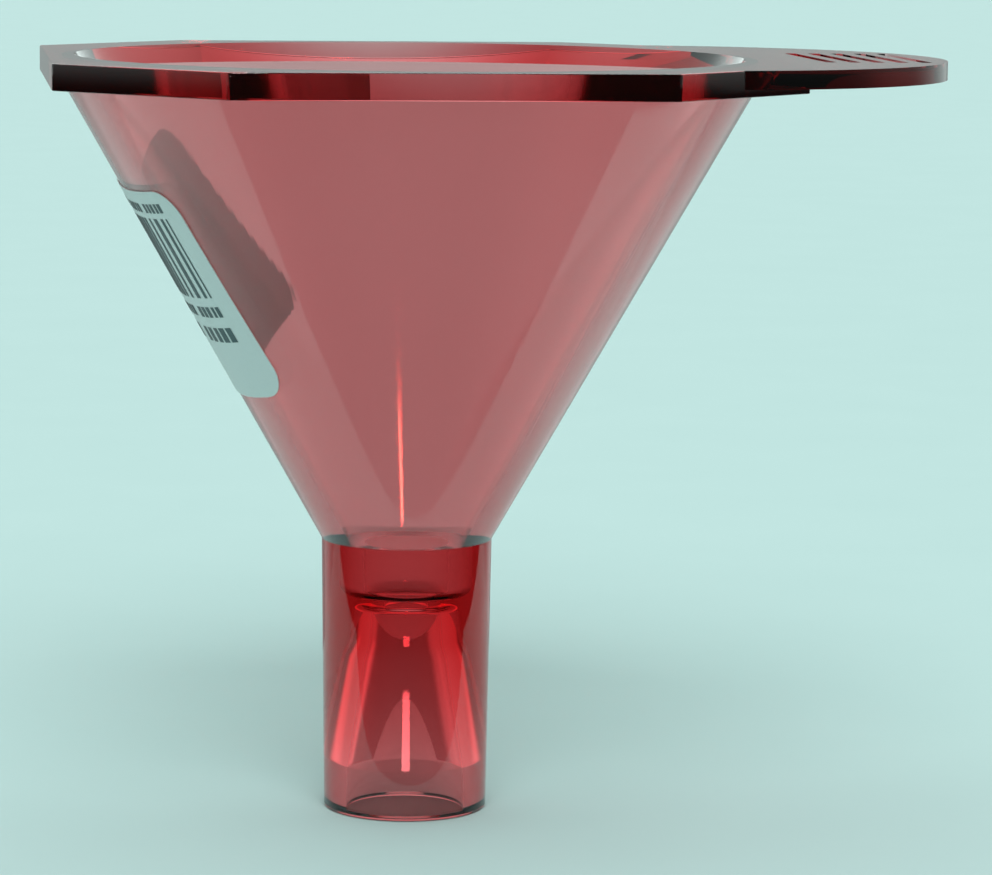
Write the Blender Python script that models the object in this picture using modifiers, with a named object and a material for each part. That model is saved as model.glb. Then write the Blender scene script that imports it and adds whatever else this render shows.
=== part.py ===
"""One-piece octagonal powder funnel with a thumb tab, and the barcode label stuck on its cone.

The funnel's axis is +Z, its mouth is up and its tab points along +X.
The origin is at the centre of the spout's open end.
"""
import math

import bmesh
import bpy
from mathutils import Matrix, Vector

MM = 0.001

# Overall
HEIGHT = 82.0 * MM
SPOUT_LENGTH = 29.7 * MM
TURN_STEPS = 96

# Rim plate: a square with its corners cut off
RIM_ACROSS_FLATS = 78.0 * MM
RIM_CORNER_CUT = 16.6 * MM
RIM_THICKNESS = 2.75 * MM
RIM_CORNER_RADIUS = 0.6 * MM
OPENING_RADIUS = 36.0 * MM

# Thumb tab: a round-ended plate flush with the rim's top face
TAB_CENTRE_X = 27.0 * MM
TAB_RADIUS = 31.2 * MM
TAB_THICKNESS = 1.95 * MM
GRIP_GROOVES = 5
GRIP_PITCH = 2.6 * MM
GRIP_WIDTH = 1.2 * MM
GRIP_DEPTH = 0.4 * MM
GRIP_LENGTH = 22.0 * MM
GRIP_CENTRE_X = 49.0 * MM

# Cone
CONE_RADIUS_UNDER_RIM = 37.3 * MM
CONE_FOOT_RADIUS = 9.26 * MM

# Spout: outside taper, ledge and bowl under the cone, drop hole and the socket for the case mouth
SPOUT_END_RADIUS = 8.88 * MM
SPOUT_END_CHAMFER = 0.25 * MM
LEDGE_HEIGHT = 30.0 * MM
BOWL_TOP = 29.8 * MM
BOWL_RADIUS = 4.6 * MM
BOWL_FLOOR = 23.4 * MM
BOWL_FILLET = 1.2 * MM
DROP_HOLE_RADIUS = 2.4 * MM
SOCKET_TOP = 22.7 * MM
SOCKET_TOP_RADIUS = 3.65 * MM
SOCKET_TOP_FILLET = 0.7 * MM
SOCKET_NECK_FOOT = 18.6 * MM
SOCKET_NECK_RADIUS = 3.9 * MM
SOCKET_TAPER_TOP = 17.0 * MM
SOCKET_TAPER_TOP_RADIUS = 4.4 * MM
SOCKET_TAPER_FOOT = 5.2 * MM
SOCKET_TAPER_FOOT_RADIUS = 6.15 * MM
SOCKET_LAND_TOP = 4.9 * MM
SOCKET_LAND_RADIUS = 6.25 * MM
SOCKET_MOUTH_RADIUS = 6.4 * MM
SOCKET_MOUTH_BREAK = 0.2 * MM
FILLET_STEPS = 4

# Adhesive label
LABEL_WIDTH = 38.1 * MM
LABEL_HEIGHT = 25.4 * MM
LABEL_CORNER_RADIUS = 3.4 * MM
LABEL_THICKNESS = 0.2 * MM
LABEL_GAP = 0.3 * MM
LABEL_COLUMNS = 30
LABEL_ROWS = 14
LABEL_CENTRE_SLANT = 50.9 * MM
LABEL_CENTRE_TURN = math.radians(171.8)
LABEL_TILT = math.radians(-9.5)

CUTTER_OVERRUN = 1.0 * MM
SHARP_ANGLE = math.radians(20.0)
RIM_BASE = HEIGHT - RIM_THICKNESS
CONE_SLOPE = (CONE_RADIUS_UNDER_RIM - CONE_FOOT_RADIUS) / (RIM_BASE - SPOUT_LENGTH)
LEDGE_RADIUS = OPENING_RADIUS - (HEIGHT - LEDGE_HEIGHT) * CONE_SLOPE


def clear_scene():
    for existing in list(bpy.data.objects):
        bpy.data.objects.remove(existing, do_unlink=True)


def new_collection(name):
    collection = bpy.data.collections.new(name)
    bpy.context.scene.collection.children.link(collection)
    return collection


def add_object(name, data, collection):
    made = bpy.data.objects.new(name, data)
    collection.objects.link(made)
    return made


def mark_as_cutter(piece):
    piece.hide_render = True
    piece.display_type = "WIRE"


def principled(name, colour, roughness, transmission=0.0):
    material = bpy.data.materials.new(name)
    material.use_nodes = True
    shader = material.node_tree.nodes["Principled BSDF"]
    shader.inputs["Base Color"].default_value = (*colour, 1.0)
    shader.inputs["Roughness"].default_value = roughness
    shader.inputs["Metallic"].default_value = 0.0
    shader.inputs["Transmission Weight"].default_value = transmission
    shader.inputs["IOR"].default_value = 1.55
    return material


def turned(name, profile, collection):
    """A solid of revolution from (radius, height) points that run from the axis, down, to the axis."""
    mesh = bpy.data.meshes.new(name)
    points = [Vector((radius, 0.0, height)) for radius, height in profile]
    mesh.from_pydata(points, [(i, i + 1) for i in range(len(points) - 1)], [])
    piece = add_object(name, mesh, collection)
    screw = piece.modifiers.new("turn", "SCREW")
    screw.axis = "Z"
    screw.steps = TURN_STEPS
    screw.render_steps = TURN_STEPS
    screw.use_merge_vertices = True
    screw.merge_threshold = 0.00001
    screw.use_smooth_shade = True
    return piece


def plate(name, outline, base, thickness, collection):
    """A flat plate from an XY outline, made a welded mesh so that it can be joined and cut."""
    curve = bpy.data.curves.new(name, "CURVE")
    curve.dimensions = "2D"
    curve.fill_mode = "BOTH"
    curve.extrude = thickness / 2
    spline = curve.splines.new("POLY")
    spline.points.add(len(outline) - 1)
    for point, (x, y) in zip(spline.points, outline):
        point.co = (x, y, 0.0, 1.0)
    spline.use_cyclic_u = True
    drawn = add_object(name + "_curve", curve, collection)
    drawn.location.z = base + thickness / 2
    bpy.context.view_layer.update()
    evaluated = drawn.evaluated_get(bpy.context.evaluated_depsgraph_get())
    mesh = bpy.data.meshes.new_from_object(evaluated)
    welded = bmesh.new()
    welded.from_mesh(mesh)
    bmesh.ops.remove_doubles(welded, verts=welded.verts, dist=0.00001)
    bmesh.ops.recalc_face_normals(welded, faces=welded.faces)
    welded.to_mesh(mesh)
    welded.free()
    piece = add_object(name, mesh, collection)
    piece.matrix_world = drawn.matrix_world
    bpy.data.objects.remove(drawn, do_unlink=True)
    return piece


def rounded_corners(corners, radius, steps=4):
    """Replace each corner of a convex outline by an arc."""
    outline = []
    for i, corner in enumerate(corners):
        before = (corners[i - 1] - corner).normalized()
        after = (corners[(i + 1) % len(corners)] - corner).normalized()
        half = before.angle(after) / 2
        centre = corner + (before + after).normalized() * radius / math.sin(half)
        start = corner + before * radius / math.tan(half) - centre
        end = corner + after * radius / math.tan(half) - centre
        sweep = start.angle_signed(end)
        for step in range(steps + 1):
            outline.append(centre + Matrix.Rotation(-sweep * step / steps, 2) @ start)
    return outline


def rim_outline():
    half = RIM_ACROSS_FLATS / 2
    cut = half - RIM_CORNER_CUT
    corners = []
    for quarter in range(4):
        turn = Matrix.Rotation(math.radians(90 * quarter), 2)
        corners.append(turn @ Vector((half, -cut)))
        corners.append(turn @ Vector((half, cut)))
    return rounded_corners(corners, RIM_CORNER_RADIUS)


def tab_outline(steps=64):
    """The tab's round end, closed by a straight edge well inside the rim plate."""
    outline = []
    for step in range(steps + 1):
        angle = math.radians(-90 + 180 * step / steps)
        outline.append((TAB_CENTRE_X + TAB_RADIUS * math.cos(angle), TAB_RADIUS * math.sin(angle)))
    return outline


def boolean(piece, other, operation):
    modifier = piece.modifiers.new(operation.lower() + "_" + other.name, "BOOLEAN")
    modifier.operation = operation
    modifier.solver = "EXACT"
    modifier.object = other
    mark_as_cutter(other)


def outer_shape(collection):
    """The outside of the cone and spout, solid, with its top buried in the rim plate."""
    buried_top = RIM_BASE + RIM_THICKNESS / 2
    profile = [
        (0.0, buried_top),
        (CONE_RADIUS_UNDER_RIM, buried_top),
        (CONE_RADIUS_UNDER_RIM, RIM_BASE),
        (CONE_FOOT_RADIUS, SPOUT_LENGTH),
        (SPOUT_END_RADIUS, SPOUT_END_CHAMFER),
        (SPOUT_END_RADIUS - SPOUT_END_CHAMFER, 0.0),
        (0.0, 0.0),
    ]
    return turned("funnel_body", profile, collection)


def floor_corner(radius, height, fillet):
    """Points that round the corner where a wall comes down to a floor."""
    points = []
    for step in range(FILLET_STEPS + 1):
        angle = math.pi / 2 * step / FILLET_STEPS
        points.append((radius - fillet + fillet * math.cos(angle), height + fillet - fillet * math.sin(angle)))
    return points


def roof_corner(radius, height, fillet):
    """Points that round the corner where a roof turns down into a wall."""
    points = []
    for step in range(FILLET_STEPS + 1):
        angle = math.pi / 2 * step / FILLET_STEPS
        points.append((radius - fillet + fillet * math.sin(angle), height - fillet + fillet * math.cos(angle)))
    return points


def inner_shape(collection):
    """The space inside the funnel, from above the mouth to below the spout."""
    profile = [
        (0.0, HEIGHT + CUTTER_OVERRUN),
        (OPENING_RADIUS + CUTTER_OVERRUN * CONE_SLOPE, HEIGHT + CUTTER_OVERRUN),
        (LEDGE_RADIUS, LEDGE_HEIGHT),
        (BOWL_RADIUS, BOWL_TOP),
        *floor_corner(BOWL_RADIUS, BOWL_FLOOR, BOWL_FILLET),
        (DROP_HOLE_RADIUS, BOWL_FLOOR),
        (DROP_HOLE_RADIUS, SOCKET_TOP),
        *roof_corner(SOCKET_TOP_RADIUS, SOCKET_TOP, SOCKET_TOP_FILLET),
        (SOCKET_NECK_RADIUS, SOCKET_NECK_FOOT),
        (SOCKET_TAPER_TOP_RADIUS, SOCKET_TAPER_TOP),
        (SOCKET_TAPER_FOOT_RADIUS, SOCKET_TAPER_FOOT),
        (SOCKET_LAND_RADIUS, SOCKET_LAND_TOP),
        (SOCKET_MOUTH_RADIUS, SOCKET_MOUTH_BREAK),
        (SOCKET_MOUTH_RADIUS + SOCKET_MOUTH_BREAK + CUTTER_OVERRUN, -CUTTER_OVERRUN),
        (0.0, -CUTTER_OVERRUN),
    ]
    return turned("inner_space", profile, collection)


def grip_groove(index, collection):
    offset = (index - (GRIP_GROOVES - 1) / 2) * GRIP_PITCH
    bpy.ops.mesh.primitive_cube_add(size=1.0, location=(GRIP_CENTRE_X + offset, 0.0, HEIGHT))
    groove = bpy.context.active_object
    groove.name = "grip_groove_%d" % (index + 1)
    groove.scale = (GRIP_WIDTH, GRIP_LENGTH, 2 * GRIP_DEPTH)
    for owner in list(groove.users_collection):
        owner.objects.unlink(groove)
    collection.objects.link(groove)
    return groove


def bake_modifiers(piece):
    """Give the piece its evaluated mesh, smooth where the surface is round."""
    bpy.context.view_layer.update()
    evaluated = piece.evaluated_get(bpy.context.evaluated_depsgraph_get())
    mesh = bpy.data.meshes.new_from_object(evaluated)
    piece.modifiers.clear()
    piece.data = mesh
    mesh.shade_smooth()
    mesh.set_sharp_from_angle(angle=SHARP_ANGLE)


def funnel_body(parts, cutters):
    body = outer_shape(parts)
    boolean(body, plate("rim_plate", rim_outline(), RIM_BASE, RIM_THICKNESS, cutters), "UNION")
    tab = plate("tab_plate", tab_outline(), HEIGHT - TAB_THICKNESS, TAB_THICKNESS, cutters)
    boolean(body, tab, "UNION")
    boolean(body, inner_shape(cutters), "DIFFERENCE")
    for index in range(GRIP_GROOVES):
        boolean(body, grip_groove(index, cutters), "DIFFERENCE")
    bake_modifiers(body)
    body.data.materials.clear()
    body.data.materials.append(principled("red_clear_plastic", (0.62, 0.10, 0.12), 0.15, 0.9))
    return body


def label_half_width(height):
    """Half the label's width at a height above its centre, with its corners rounded."""
    into_corner = abs(height) - (LABEL_HEIGHT / 2 - LABEL_CORNER_RADIUS)
    if into_corner <= 0.0:
        return LABEL_WIDTH / 2
    inset = LABEL_CORNER_RADIUS - math.sqrt(max(LABEL_CORNER_RADIUS ** 2 - into_corner ** 2, 0.0))
    return LABEL_WIDTH / 2 - inset


def wrap_on_cone(across, up, lift):
    """Lay a point of the flat label on the cone, held off its surface by lift."""
    half_angle = math.atan(CONE_SLOPE)
    apex = SPOUT_LENGTH - CONE_FOOT_RADIUS / CONE_SLOPE
    turned_across = across * math.cos(LABEL_TILT) - up * math.sin(LABEL_TILT)
    turned_up = across * math.sin(LABEL_TILT) + up * math.cos(LABEL_TILT)
    slant = math.hypot(turned_across, LABEL_CENTRE_SLANT + turned_up)
    roll = math.atan2(turned_across, LABEL_CENTRE_SLANT + turned_up) / math.sin(half_angle)
    radius = slant * math.sin(half_angle) + lift * math.cos(half_angle)
    height = apex + slant * math.cos(half_angle) - lift * math.sin(half_angle)
    turn = LABEL_CENTRE_TURN + roll
    return Vector((radius * math.cos(turn), radius * math.sin(turn), height))


def barcode_label(parts):
    surface = bmesh.new()
    bmesh.ops.create_grid(surface, x_segments=LABEL_COLUMNS, y_segments=LABEL_ROWS, size=1.0)
    for vertex in surface.verts:
        up = LABEL_HEIGHT / 2 * math.sin(math.radians(90.0 * vertex.co.y))
        across = vertex.co.x * label_half_width(up)
        vertex.co = wrap_on_cone(across, up, LABEL_GAP)
    bmesh.ops.recalc_face_normals(surface, faces=surface.faces)
    mesh = bpy.data.meshes.new("barcode_label")
    surface.to_mesh(mesh)
    surface.free()
    label = add_object("barcode_label", mesh, parts)
    thickness = label.modifiers.new("thickness", "SOLIDIFY")
    thickness.thickness = LABEL_THICKNESS
    thickness.offset = 1.0
    bake_modifiers(label)
    label.data.materials.append(principled("label_paper", (0.80, 0.86, 0.84), 0.55))
    return label


clear_scene()
part_collection = new_collection("powder_funnel")
cutter_collection = new_collection("powder_funnel_cutters")
funnel_body(part_collection, cutter_collection)
barcode_label(part_collection)
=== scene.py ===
"""Clear red powder funnel with a frosted cone and a paper label, on a pale floor.

The funnel's axis is +Z, its mouth is up and its tab points along +X.
The origin is at the centre of the spout's open end. The camera looks roughly along +Y.
"""

import math
import random

import bmesh
import bpy
from mathutils import Matrix, Vector


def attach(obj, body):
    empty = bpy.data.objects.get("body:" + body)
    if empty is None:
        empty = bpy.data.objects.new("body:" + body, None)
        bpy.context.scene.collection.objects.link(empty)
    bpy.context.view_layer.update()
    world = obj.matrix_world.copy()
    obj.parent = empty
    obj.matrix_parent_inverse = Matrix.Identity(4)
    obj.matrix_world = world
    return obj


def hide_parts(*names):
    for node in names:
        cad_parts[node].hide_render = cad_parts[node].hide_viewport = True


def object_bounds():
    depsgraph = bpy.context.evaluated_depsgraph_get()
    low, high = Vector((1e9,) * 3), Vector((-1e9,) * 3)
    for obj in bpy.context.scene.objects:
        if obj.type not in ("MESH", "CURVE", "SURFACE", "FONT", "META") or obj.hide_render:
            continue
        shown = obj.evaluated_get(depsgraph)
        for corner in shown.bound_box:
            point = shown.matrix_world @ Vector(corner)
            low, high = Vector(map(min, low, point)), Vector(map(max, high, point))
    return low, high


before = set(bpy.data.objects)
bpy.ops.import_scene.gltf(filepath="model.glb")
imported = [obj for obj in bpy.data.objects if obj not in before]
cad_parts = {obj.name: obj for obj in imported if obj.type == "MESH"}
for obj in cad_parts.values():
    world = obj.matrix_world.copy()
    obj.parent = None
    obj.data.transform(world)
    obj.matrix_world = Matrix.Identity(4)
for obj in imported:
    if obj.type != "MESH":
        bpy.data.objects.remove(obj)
cad_low, cad_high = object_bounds()

MM = 0.001

# The funnel's outside, as in the CAD
HEIGHT = cad_high.z
SPOUT_LENGTH = 29.7 * MM
RIM_ACROSS_FLATS = 2 * cad_high.y
RIM_CORNER_CUT = 16.6 * MM
RIM_THICKNESS = 2.75 * MM
RIM_CORNER_RADIUS = 0.6 * MM
OPENING_RADIUS = 36.0 * MM
TAB_RADIUS = 31.2 * MM
TAB_CENTRE_X = cad_high.x - TAB_RADIUS
TAB_THICKNESS = 1.95 * MM
CONE_RADIUS_UNDER_RIM = 37.3 * MM
CONE_FOOT_RADIUS = 9.26 * MM
SPOUT_END_RADIUS = 8.88 * MM
SPOUT_END_CHAMFER = 0.25 * MM

# Grip grooves in the tab's top
GRIP_GROOVES = 5
GRIP_PITCH = 2.6 * MM
GRIP_WIDTH = 1.2 * MM
GRIP_DEPTH = 0.4 * MM
GRIP_LENGTH = 22.0 * MM
GRIP_CENTRE_X = 49.0 * MM

# The space inside, as in the CAD
LEDGE_HEIGHT = 30.0 * MM
BOWL_TOP = 29.8 * MM
BOWL_RADIUS = 4.6 * MM
BOWL_FLOOR = 23.4 * MM
BOWL_FILLET = 1.2 * MM
DROP_HOLE_RADIUS = 2.4 * MM
SOCKET_TOP = 22.7 * MM
SOCKET_TOP_RADIUS = 3.65 * MM
SOCKET_TOP_FILLET = 0.7 * MM
SOCKET_NECK_FOOT = 18.6 * MM
SOCKET_NECK_RADIUS = 3.9 * MM
SOCKET_TAPER_TOP = 17.0 * MM
SOCKET_TAPER_TOP_RADIUS = 4.4 * MM
SOCKET_TAPER_FOOT = 5.2 * MM
SOCKET_TAPER_FOOT_RADIUS = 6.15 * MM
SOCKET_LAND_TOP = 4.9 * MM
SOCKET_LAND_RADIUS = 6.25 * MM
SOCKET_MOUTH_RADIUS = 6.4 * MM
SOCKET_MOUTH_BREAK = 0.2 * MM

# Adhesive label, thinner and closer to the cone than in the CAD
LABEL_WIDTH = 38.1 * MM
LABEL_HEIGHT = 25.4 * MM
LABEL_CORNER_RADIUS = 3.4 * MM
LABEL_THICKNESS = 0.12 * MM
LABEL_GAP = 0.05 * MM
LABEL_CENTRE_SLANT = 50.9 * MM
LABEL_CENTRE_TURN = math.radians(171.8)
LABEL_TILT = math.radians(-9.5)
INK_THICKNESS = 0.03 * MM

# Made-up print on the label; the marks' sizes are shares of their row's height
PRINT_SEED = 7
BAR_MODULE = 0.33 * MM
BARS_FOOT = -0.3 * MM
BARS_TOP = 9.4 * MM
BARS_HALF_WIDTH = 16.0 * MM
MARKS_HALF_WIDTH = 15.8 * MM
MARKS_IN_GROUP = 5
MARK_PITCH = 0.78
MARK_WIDTHS = (0.42, 0.62)
MARK_HEIGHT = 0.85

# Frost on the cone: how far under its outside it still reaches, and how far it stays off spout and rim
FROST_DEPTH = 0.5 * MM
FROST_MARGIN = 0.05 * MM

# Fineness of the meshes
TURN_STEPS = 240
TAB_STEPS = 120
CORNER_STEPS = 6
GROOVE_END_STEPS = 12
FILLET_STEPS = 8
LABEL_COLUMNS = 72
LABEL_ROWS = 48

# Rounding of the rim's and tab's edges, and how far the cutters run past the surfaces that they cut
EDGE_BREAK = 0.12 * MM
OVERRUN = 1.0 * MM

# Camera: it looks along +Y, turned about the funnel's axis, and is then pitched, yawed and rolled
CAMERA_SENSOR_MM = 36.0
CAMERA_LENS_MM = 147.7
CAMERA_TURN = math.radians(6.698)
CAMERA_PITCH = math.radians(7.812)
CAMERA_YAW = math.radians(1.257)
CAMERA_ROLL = math.radians(0.634)
CAMERA_DISTANCE = 12.184 * OPENING_RADIUS
CAMERA_RISE = 0.5249 * OPENING_RADIUS

# Floor, with a patch by the spout that widens from its front edge to its back edge
FLOOR_LEVEL = -0.1 * MM
FLOOR_HALF = 6.0
NEAR_FLOOR_FRONT = -25.0 * MM
NEAR_FLOOR_FRONT_HALF = 105.0 * MM
NEAR_FLOOR_BACK = 90.0 * MM
NEAR_FLOOR_BACK_HALF = 190.0 * MM

RIM_BASE = HEIGHT - RIM_THICKNESS
CONE_SLOPE = (CONE_RADIUS_UNDER_RIM - CONE_FOOT_RADIUS) / (RIM_BASE - SPOUT_LENGTH)
CONE_HALF_ANGLE = math.atan(CONE_SLOPE)
CONE_APEX = SPOUT_LENGTH - CONE_FOOT_RADIUS / CONE_SLOPE
LEDGE_RADIUS = OPENING_RADIUS - (HEIGHT - LEDGE_HEIGHT) * CONE_SLOPE
INK_LIFT = LABEL_GAP + LABEL_THICKNESS + INK_THICKNESS


def add_object(name, data):
    made = bpy.data.objects.new(name, data)
    bpy.context.scene.collection.objects.link(made)
    return made


def turned(name, profile):
    """A solid of revolution from (radius, height) points that run from the axis, down, to the axis."""
    mesh = bpy.data.meshes.new(name)
    mesh.from_pydata([(r, 0.0, z) for r, z in profile], [(i, i + 1) for i in range(len(profile) - 1)], [])
    piece = add_object(name, mesh)
    screw = piece.modifiers.new("turn", "SCREW")
    screw.steps = screw.render_steps = TURN_STEPS
    screw.use_merge_vertices = True
    screw.merge_threshold = 0.000001
    return piece


def prism(name, outline, base, top, edge_break=0.0):
    """An upright prism, with its top and bottom edges rounded off by edge_break."""
    shape = bmesh.new()
    face = shape.faces.new([shape.verts.new((x, y, base)) for x, y in outline])
    grown = bmesh.ops.extrude_face_region(shape, geom=[face])
    for item in grown["geom"]:
        if isinstance(item, bmesh.types.BMVert):
            item.co.z = top
    if edge_break:
        level = [edge for edge in shape.edges if abs(edge.verts[0].co.z - edge.verts[1].co.z) < EDGE_BREAK]
        bmesh.ops.bevel(shape, geom=level, offset=edge_break, segments=3, profile=0.5, affect="EDGES")
    bmesh.ops.recalc_face_normals(shape, faces=shape.faces)
    mesh = bpy.data.meshes.new(name)
    shape.to_mesh(mesh)
    shape.free()
    return add_object(name, mesh)


def rounded_corners(corners, radius, steps):
    """Replace each corner of a convex outline by an arc."""
    outline = []
    for i, corner in enumerate(corners):
        before = (corners[i - 1] - corner).normalized()
        after = (corners[(i + 1) % len(corners)] - corner).normalized()
        half = before.angle(after) / 2
        centre = corner + (before + after).normalized() * radius / math.sin(half)
        start = corner + before * radius / math.tan(half) - centre
        end = corner + after * radius / math.tan(half) - centre
        sweep = start.angle_signed(end)
        for step in range(steps + 1):
            outline.append(centre + Matrix.Rotation(-sweep * step / steps, 2) @ start)
    return outline


def rim_outline():
    half = RIM_ACROSS_FLATS / 2
    cut = half - RIM_CORNER_CUT
    corners = []
    for quarter in range(4):
        turn = Matrix.Rotation(math.radians(90 * quarter), 2)
        corners.append(turn @ Vector((half, -cut)))
        corners.append(turn @ Vector((half, cut)))
    return rounded_corners(corners, RIM_CORNER_RADIUS, CORNER_STEPS)


def tab_outline():
    """A half disc, open towards the rim."""
    angles = [math.radians(-90 + 180 * step / TAB_STEPS) for step in range(TAB_STEPS + 1)]
    return [(TAB_CENTRE_X + TAB_RADIUS * math.cos(a), TAB_RADIUS * math.sin(a)) for a in angles]


def groove_outline(centre_x):
    """A long slot across the tab, with ends just short of half circles."""
    across, along = GRIP_WIDTH / 2, GRIP_LENGTH / 2
    corners = [
        Vector((centre_x + across, -along)),
        Vector((centre_x + across, along)),
        Vector((centre_x - across, along)),
        Vector((centre_x - across, -along)),
    ]
    return rounded_corners(corners, 0.98 * across, GROOVE_END_STEPS)


def boolean(piece, other, operation):
    modifier = piece.modifiers.new(other.name, "BOOLEAN")
    modifier.operation = operation
    modifier.solver = "EXACT"
    modifier.object = other
    return other


def apply_modifiers(piece):
    bpy.context.view_layer.update()
    evaluated = piece.evaluated_get(bpy.context.evaluated_depsgraph_get())
    mesh = bpy.data.meshes.new_from_object(evaluated)
    piece.modifiers.clear()
    piece.data = mesh


def bake(piece, sharp_degrees, used_up=()):
    """Give the piece its evaluated mesh, smooth where it is round, and delete what shaped it."""
    apply_modifiers(piece)
    piece.data.materials.clear()
    piece.data.shade_smooth()
    piece.data.set_sharp_from_angle(angle=math.radians(sharp_degrees))
    normals = piece.modifiers.new("normals", "WEIGHTED_NORMAL")
    normals.weight = 100
    normals.keep_sharp = True
    apply_modifiers(piece)
    for other in used_up:
        bpy.data.objects.remove(other, do_unlink=True)


def outer_profile():
    buried_top = RIM_BASE + RIM_THICKNESS / 2
    return [
        (0.0, buried_top),
        (CONE_RADIUS_UNDER_RIM, buried_top),
        (CONE_RADIUS_UNDER_RIM, RIM_BASE),
        (CONE_FOOT_RADIUS, SPOUT_LENGTH),
        (SPOUT_END_RADIUS, SPOUT_END_CHAMFER),
        (SPOUT_END_RADIUS - SPOUT_END_CHAMFER, 0.0),
        (0.0, 0.0),
    ]


def quarter_turn():
    return [math.pi / 2 * step / FILLET_STEPS for step in range(FILLET_STEPS + 1)]


def floor_corner(radius, height, fillet):
    return [(radius - fillet + fillet * math.cos(a), height + fillet - fillet * math.sin(a))
            for a in quarter_turn()]


def roof_corner(radius, height, fillet):
    return [(radius - fillet + fillet * math.sin(a), height - fillet + fillet * math.cos(a))
            for a in quarter_turn()]


def inner_profile():
    """Cone, bowl, drop hole and socket, from above the opening to below the spout."""
    return [
        (0.0, HEIGHT + OVERRUN),
        (OPENING_RADIUS + OVERRUN * CONE_SLOPE, HEIGHT + OVERRUN),
        (LEDGE_RADIUS, LEDGE_HEIGHT),
        (BOWL_RADIUS, BOWL_TOP),
        *floor_corner(BOWL_RADIUS, BOWL_FLOOR, BOWL_FILLET),
        (DROP_HOLE_RADIUS, BOWL_FLOOR),
        (DROP_HOLE_RADIUS, SOCKET_TOP),
        *roof_corner(SOCKET_TOP_RADIUS, SOCKET_TOP, SOCKET_TOP_FILLET),
        (SOCKET_NECK_RADIUS, SOCKET_NECK_FOOT),
        (SOCKET_TAPER_TOP_RADIUS, SOCKET_TAPER_TOP),
        (SOCKET_TAPER_FOOT_RADIUS, SOCKET_TAPER_FOOT),
        (SOCKET_LAND_RADIUS, SOCKET_LAND_TOP),
        (SOCKET_MOUTH_RADIUS, SOCKET_MOUTH_BREAK),
        (SOCKET_MOUTH_RADIUS + SOCKET_MOUTH_BREAK + OVERRUN, -OVERRUN),
        (0.0, -OVERRUN),
    ]


def build_funnel():
    """One closed solid: turned cone and spout, joined to the rim and the tab, hollowed and grooved."""
    body = turned("funnel", outer_profile())
    rim = prism("rim_solid", rim_outline(), RIM_BASE, HEIGHT, EDGE_BREAK)
    tab = prism("tab_solid", tab_outline(), HEIGHT - TAB_THICKNESS, HEIGHT, EDGE_BREAK)
    shapes = [
        boolean(body, rim, "UNION"),
        boolean(body, tab, "UNION"),
        boolean(body, turned("inner_solid", inner_profile()), "DIFFERENCE"),
    ]
    for index in range(GRIP_GROOVES):
        centre_x = GRIP_CENTRE_X + (index - (GRIP_GROOVES - 1) / 2) * GRIP_PITCH
        groove = prism("groove", groove_outline(centre_x), HEIGHT - GRIP_DEPTH, HEIGHT + OVERRUN)
        shapes.append(boolean(body, groove, "DIFFERENCE"))
    bake(body, sharp_degrees=25.0, used_up=shapes)
    return body


def label_half_width(height):
    """Half the label's width at a height above its centre, with its corners rounded."""
    into_corner = abs(height) - (LABEL_HEIGHT / 2 - LABEL_CORNER_RADIUS)
    if into_corner <= 0.0:
        return LABEL_WIDTH / 2
    inset = LABEL_CORNER_RADIUS - math.sqrt(max(LABEL_CORNER_RADIUS ** 2 - into_corner ** 2, 0.0))
    return LABEL_WIDTH / 2 - inset


def on_cone(across, up, lift):
    """A point of the flat label laid on the cone, held off its surface by lift."""
    turned_across = across * math.cos(LABEL_TILT) - up * math.sin(LABEL_TILT)
    turned_up = across * math.sin(LABEL_TILT) + up * math.cos(LABEL_TILT)
    slant = math.hypot(turned_across, LABEL_CENTRE_SLANT + turned_up)
    roll = math.atan2(turned_across, LABEL_CENTRE_SLANT + turned_up) / math.sin(CONE_HALF_ANGLE)
    radius = slant * math.sin(CONE_HALF_ANGLE) + lift * math.cos(CONE_HALF_ANGLE)
    height = CONE_APEX + slant * math.cos(CONE_HALF_ANGLE) - lift * math.sin(CONE_HALF_ANGLE)
    turn = LABEL_CENTRE_TURN + roll
    return Vector((radius * math.cos(turn), radius * math.sin(turn), height))


def build_paper():
    """The label's sheet, with its rows of points closer together towards its rounded corners."""
    surface = bmesh.new()
    bmesh.ops.create_grid(surface, x_segments=LABEL_COLUMNS, y_segments=LABEL_ROWS, size=1.0)
    for vertex in surface.verts:
        up = LABEL_HEIGHT / 2 * math.sin(math.radians(90.0 * vertex.co.y))
        vertex.co = on_cone(vertex.co.x * label_half_width(up), up, LABEL_GAP)
    bmesh.ops.recalc_face_normals(surface, faces=surface.faces)
    mesh = bpy.data.meshes.new("label")
    surface.to_mesh(mesh)
    surface.free()
    paper = add_object("label", mesh)
    solid = paper.modifiers.new("thickness", "SOLIDIFY")
    solid.thickness = LABEL_THICKNESS
    solid.offset = 1.0
    bake(paper, sharp_degrees=40.0)
    return paper


def print_patch(shape, low, high):
    """One inked rectangle of the label, from its low to its high (across, up) corner."""
    steps = max(1, math.ceil(max(high[0] - low[0], high[1] - low[1]) / MM))
    tall = high[1] - low[1] > high[0] - low[0]
    rows = []
    for step in range(steps + 1):
        share = step / steps
        if tall:
            up = low[1] + share * (high[1] - low[1])
            ends = ((low[0], up), (high[0], up))
        else:
            across = low[0] + share * (high[0] - low[0])
            ends = ((across, high[1]), (across, low[1]))
        rows.append([shape.verts.new(on_cone(a, u, INK_LIFT)) for a, u in ends])
    for before, after in zip(rows, rows[1:]):
        shape.faces.new((before[0], before[1], after[1], after[0]))


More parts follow.
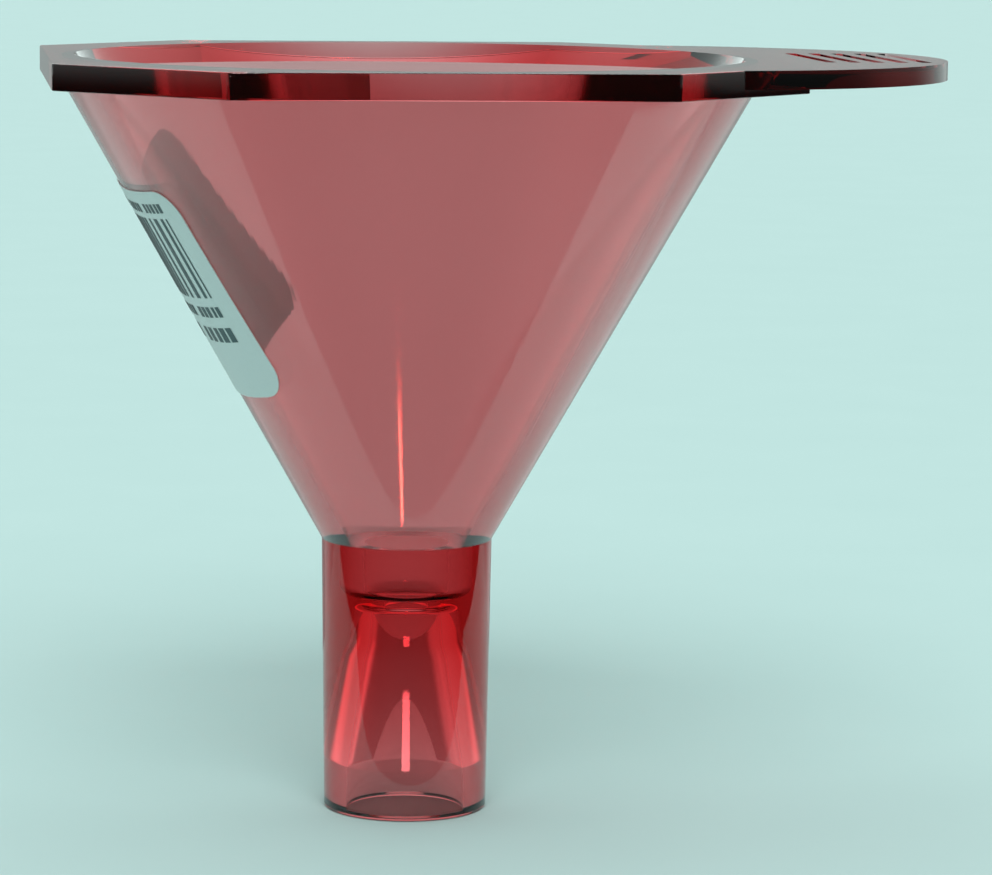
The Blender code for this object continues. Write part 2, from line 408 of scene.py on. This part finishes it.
def print_bars(shape, draw):
    """A made-up bar pattern across the upper half of the label."""
    across = -BARS_HALF_WIDTH
    while across < BARS_HALF_WIDTH:
        width = BAR_MODULE * draw.choice((1, 1, 2, 2, 3))
        print_patch(shape, (across, BARS_FOOT), (across + width, BARS_TOP))
        across += width + BAR_MODULE * draw.choice((1, 1, 2, 3))


def print_marks(shape, draw, foot, size):
    """A row of plain blocks in groups, in place of a line of small type."""
    pitch = MARK_PITCH * size
    for index in range(int(2 * MARKS_HALF_WIDTH / pitch)):
        if index % (MARKS_IN_GROUP + 1) == MARKS_IN_GROUP:
            continue
        start = MARKS_HALF_WIDTH - index * pitch
        width = size * draw.uniform(*MARK_WIDTHS)
        print_patch(shape, (start - width, foot), (start, foot + MARK_HEIGHT * size))


def add_print(paper):
    """Ink the label with bars and rows of marks that say nothing, as a second material of the same mesh."""
    draw = random.Random(PRINT_SEED)
    shape = bmesh.new()
    shape.from_mesh(paper.data)
    paper_faces = len(shape.faces)
    print_bars(shape, draw)
    print_marks(shape, draw, foot=10.1 * MM, size=1.3 * MM)
    print_marks(shape, draw, foot=-2.7 * MM, size=1.5 * MM)
    print_marks(shape, draw, foot=-5.8 * MM, size=2.1 * MM)
    shape.faces.ensure_lookup_table()
    for face in shape.faces[paper_faces:]:
        face.material_index = 1
        face.smooth = True
    shape.to_mesh(paper.data)
    shape.free()


class Graph:
    """The node tree of a material or a world, with its sums written as calls."""

    def __init__(self, owner):
        owner.use_nodes = True
        self.owner = owner
        self.nodes = owner.node_tree.nodes
        self.links = owner.node_tree.links

    def feed(self, socket, value):
        """Link a node's output to the socket, or set the socket to a plain value."""
        if isinstance(value, bpy.types.NodeSocket):
            self.links.new(value, socket)
        else:
            socket.default_value = value

    def calc(self, operation, a, b=0.0):
        node = self.nodes.new("ShaderNodeMath")
        node.operation = operation
        self.feed(node.inputs[0], a)
        self.feed(node.inputs[1], b)
        return node.outputs["Value"]

    def product(self, *factors):
        result = factors[0]
        for factor in factors[1:]:
            result = self.calc("MULTIPLY", result, factor)
        return result

    def split(self, vector):
        node = self.nodes.new("ShaderNodeSeparateXYZ")
        self.feed(node.inputs["Vector"], vector)
        return [node.outputs[axis] for axis in "XYZ"]

    def ramp(self, value, start, end, before, after, blend="LINEAR"):
        """A value that goes from before to after while the input goes from start to end."""
        node = self.nodes.new("ShaderNodeMapRange")
        node.interpolation_type = blend
        limits = {"Value": value, "From Min": start, "From Max": end, "To Min": before, "To Max": after}
        for name, limit in limits.items():
            self.feed(node.inputs[name], limit)
        return node.outputs["Result"]

    def noise(self, scale, detail=2.0):
        coordinates = self.nodes.new("ShaderNodeTexCoord")
        texture = self.nodes.new("ShaderNodeTexNoise")
        self.feed(texture.inputs["Scale"], scale)
        self.feed(texture.inputs["Detail"], detail)
        self.feed(texture.inputs["Vector"], coordinates.outputs["Object"])
        return texture.outputs["Fac"]

    def tint(self, factor, low_colour, high_colour):
        node = self.nodes.new("ShaderNodeValToRGB")
        node.color_ramp.elements[0].color = (*low_colour, 1.0)
        node.color_ramp.elements[1].color = (*high_colour, 1.0)
        self.feed(node.inputs["Fac"], factor)
        return node.outputs["Color"]


class Surface(Graph):
    """A material's node tree around its Principled shader."""

    def __init__(self, name):
        super().__init__(bpy.data.materials.new(name))
        self.shader = self.nodes["Principled BSDF"]

    def give(self, name, value):
        self.feed(self.shader.inputs[name], value)

    def bump(self, height, distance):
        node = self.nodes.new("ShaderNodeBump")
        self.feed(node.inputs["Strength"], 1.0)
        self.feed(node.inputs["Distance"], distance)
        self.feed(node.inputs["Height"], height)
        self.give("Normal", node.outputs["Normal"])


def frosted_cone(surface):
    """1 on the cone's outside between the spout and the rim, 0 on every other surface."""
    place = surface.nodes.new("ShaderNodeNewGeometry")
    x, y, z = surface.split(place.outputs["Position"])
    radius = surface.calc("SQRT", surface.calc("ADD", surface.product(x, x), surface.product(y, y)))
    cone_radius = surface.product(surface.calc("SUBTRACT", z, CONE_APEX), CONE_SLOPE)
    outside = surface.calc("GREATER_THAN", surface.calc("SUBTRACT", radius, cone_radius), -FROST_DEPTH)
    above = surface.calc("GREATER_THAN", z, SPOUT_LENGTH + FROST_MARGIN)
    below = surface.calc("LESS_THAN", z, RIM_BASE - FROST_MARGIN)
    return surface.product(outside, above, below)


def red_plastic():
    """Clear red plastic: polished inside, on the rim and on the spout, and lightly frosted on the cone."""
    surface = Surface("red_clear_plastic")
    surface.give("Base Color", (1.0, 0.96, 0.96, 1.0))
    surface.give("Transmission Weight", 1.0)
    surface.give("IOR", 1.57)
    volume = surface.nodes.new("ShaderNodeVolumeAbsorption")
    surface.feed(volume.inputs["Color"], (0.85, 0.03, 0.07, 1.0))
    surface.feed(volume.inputs["Density"], 340.0)
    surface.feed(surface.nodes["Material Output"].inputs["Volume"], volume.outputs["Volume"])

    frosted = frosted_cone(surface)
    polish = surface.ramp(surface.noise(220.0, 3.0), 0.35, 0.75, 0.01, 0.03)
    frost = surface.ramp(surface.noise(900.0, 3.0), 0.3, 0.7, 0.02, 0.06)
    surface.give("Roughness", surface.calc("ADD", polish, surface.product(frosted, frost)))
    haze = surface.ramp(surface.noise(25.0), 0.3, 0.7, 0.32, 0.56)
    surface.give("Sheen Weight", surface.product(frosted, haze))
    surface.give("Sheen Roughness", 0.5)
    surface.give("Sheen Tint", (0.95, 1.0, 1.0, 1.0))
    return surface.owner


def label_paper():
    surface = Surface("label_paper")
    fibres = surface.noise(1800.0, 4.0)
    surface.give("Base Color", surface.tint(fibres, (0.58, 0.67, 0.66), (0.64, 0.73, 0.72)))
    surface.give("Roughness", surface.ramp(fibres, 0.3, 0.7, 0.42, 0.58))
    surface.bump(fibres, 0.01 * MM)
    return surface.owner


def label_ink():
    surface = Surface("label_ink")
    coverage = surface.noise(3000.0, 3.0)
    surface.give("Base Color", surface.tint(coverage, (0.012, 0.05, 0.055), (0.03, 0.10, 0.11)))
    surface.give("Roughness", surface.ramp(coverage, 0.3, 0.7, 0.35, 0.55))
    return surface.owner


def floor_paint():
    surface = Surface("pale_floor")
    mottle = surface.noise(40.0, 4.0)
    surface.give("Base Color", surface.tint(mottle, (0.52, 0.72, 0.70), (0.545, 0.745, 0.725)))
    surface.give("Roughness", 0.95)
    surface.give("Specular IOR Level", 0.1)
    return surface.owner


def add_camera():
    data = bpy.data.cameras.new("camera")
    data.sensor_width = CAMERA_SENSOR_MM
    data.lens = CAMERA_LENS_MM
    data.clip_start = 0.01
    data.clip_end = 100.0
    around = Matrix.Rotation(-CAMERA_TURN, 3, "Z")
    camera = add_object("camera", data)
    camera.location = around @ Vector((0.0, -CAMERA_DISTANCE, 0.0)) + Vector((0.0, 0.0, HEIGHT + CAMERA_RISE))
    level = math.cos(CAMERA_PITCH)
    forward = Vector((math.sin(CAMERA_YAW) * level, math.cos(CAMERA_YAW) * level, -math.sin(CAMERA_PITCH)))
    right = Vector((math.cos(CAMERA_YAW), -math.sin(CAMERA_YAW), 0.0))
    up = right.cross(forward)
    rolled_right = math.cos(CAMERA_ROLL) * right + math.sin(CAMERA_ROLL) * up
    rolled_up = -math.sin(CAMERA_ROLL) * right + math.cos(CAMERA_ROLL) * up
    facing = Matrix((rolled_right, rolled_up, -forward)).transposed()
    camera.rotation_euler = (around @ facing).to_euler()
    bpy.context.scene.camera = camera
    bpy.context.view_layer.update()


def studio_world():
    """A soft room: dim in front and low behind, brighter low at the sides and a little above behind."""
    world = bpy.data.worlds.new("soft_studio")
    bpy.context.scene.world = world
    graph = Graph(world)
    right, back, up = graph.split(graph.nodes.new("ShaderNodeTexCoord").outputs["Generated"])

    def soft(value, start, end, before=0.0, after=1.0):
        return graph.ramp(value, start, end, before, after, "SMOOTHSTEP")

    # The room brightens from front to back, in one way below the horizon and in another above it
    room = graph.nodes.new("ShaderNodeMix")
    graph.feed(room.inputs["Factor"], soft(up, -0.06, -0.01))
    graph.feed(room.inputs["A"], soft(back, 0.30, 0.85, before=0.03, after=0.75))
    graph.feed(room.inputs["B"], soft(back, -0.50, 0.15, before=0.04, after=0.82))

    low_behind = graph.product(
        soft(back, 0.87, 0.93, after=0.50),
        soft(up, 0.05, 0.09, before=1.0, after=0.0),
    )
    far_wall = graph.product(
        soft(back, 0.70, 0.95),
        soft(up, 0.06, 0.10),
        soft(up, 0.25, 0.40, before=1.0, after=0.0),
    )
    low_beside = graph.product(
        soft(graph.calc("ABSOLUTE", right), 0.40, 0.62, after=0.25),
        soft(up, 0.25, 0.45, before=1.0, after=0.0),
        soft(up, -0.06, -0.02),
    )
    shaded_room = graph.product(room.outputs["Result"], graph.calc("SUBTRACT", 1.0, low_behind))
    glow = graph.calc("ADD", far_wall, low_beside)
    background = graph.nodes["Background"]
    graph.feed(background.inputs["Color"], (0.88, 1.0, 0.98, 1.0))
    graph.feed(background.inputs["Strength"], graph.calc("ADD", shaded_room, glow))


def sun_light(name, turn, elevation, strength, spread):
    """A sun that shines along +Y turned towards +X, down from an elevation, with all angles in degrees."""
    data = bpy.data.lights.new(name, "SUN")
    data.energy = strength
    data.angle = math.radians(spread)
    lamp = add_object(name, data)
    level, turn = math.radians(elevation), math.radians(turn)
    toward = Vector((math.sin(turn) * math.cos(level), math.cos(turn) * math.cos(level), -math.sin(level)))
    lamp.rotation_euler = toward.to_track_quat("-Z", "Y").to_euler()
    return lamp


def soft_light(name, turn, elevation, strength, spread):
    """A wide sun that lights matt surfaces and isn't seen in a mirroring one or through a clear one."""
    lamp = sun_light(name, turn, elevation, strength, spread)
    lamp.visible_glossy = False
    lamp.visible_transmission = False


def warm_light(name, strength, spread):
    """A warm sun high in front that shows only as a streak down the middle of the cone."""
    lamp = sun_light(name, turn=-3.3, elevation=50.0, strength=strength, spread=spread)
    lamp.data.color = (1.0, 0.45, 0.30)
    lamp.visible_diffuse = False


def catch_light():
    """A small wide lamp just above the camera that adds only highlights."""
    data = bpy.data.lights.new("catch_light", "AREA")
    data.shape = "RECTANGLE"
    data.size = 110.0 * MM
    data.size_y = 30.0 * MM
    data.energy = 0.36
    lamp = add_object("catch_light", data)
    lamp.visible_diffuse = False
    beside_lens = Vector((10.0 * MM, 40.0 * MM, 0.0))
    lamp.location = bpy.context.scene.camera.matrix_world @ beside_lens
    aim = Vector((0.0, 0.0, HEIGHT / 2)) - lamp.location
    lamp.rotation_euler = aim.to_track_quat("-Z", "Y").to_euler()


def add_floor(name, paint, rows, faces):
    """A level sheet from rows of (left, right, y), joined by the given faces."""
    mesh = bpy.data.meshes.new(name)
    corners = [(x, y, FLOOR_LEVEL) for left, right, y in rows for x in (left, right)]
    mesh.from_pydata(corners, [], faces)
    mesh.materials.append(paint)
    floor = add_object(name, mesh)
    return floor


def build_stage():
    """A wide floor left out of reflections, around the patch by the spout that the spout mirrors."""
    paint = floor_paint()
    rows = [
        (-FLOOR_HALF, FLOOR_HALF, -FLOOR_HALF),
        (-NEAR_FLOOR_FRONT_HALF, NEAR_FLOOR_FRONT_HALF, NEAR_FLOOR_FRONT),
        (-NEAR_FLOOR_BACK_HALF, NEAR_FLOOR_BACK_HALF, NEAR_FLOOR_BACK),
        (-FLOOR_HALF, FLOOR_HALF, FLOOR_HALF),
    ]
    around = add_floor("floor", paint, rows, [(0, 1, 3, 2), (1, 7, 5, 3), (7, 6, 4, 5), (6, 0, 2, 4)])
    around.visible_glossy = False
    add_floor("near_floor", paint, rows[1:3], [(0, 1, 3, 2)])
    studio_world()
    soft_light("front_key", turn=2.7, elevation=45.0, strength=1.65, spread=40.0)
    soft_light("top_soft", turn=0.0, elevation=80.0, strength=0.45, spread=60.0)
    warm_light("warm_lamp", strength=0.30, spread=0.9)
    warm_light("warm_glow", strength=0.12, spread=3.0)
    catch_light()


funnel = build_funnel()
funnel.data.materials.append(red_plastic())
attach(funnel, "root")
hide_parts("funnel_body")

label = build_paper()
add_print(label)
label.data.materials.append(label_paper())
label.data.materials.append(label_ink())
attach(label, "root")
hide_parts("barcode_label")

bpy.context.scene.view_settings.view_transform = "Standard"
add_camera()
build_stage()
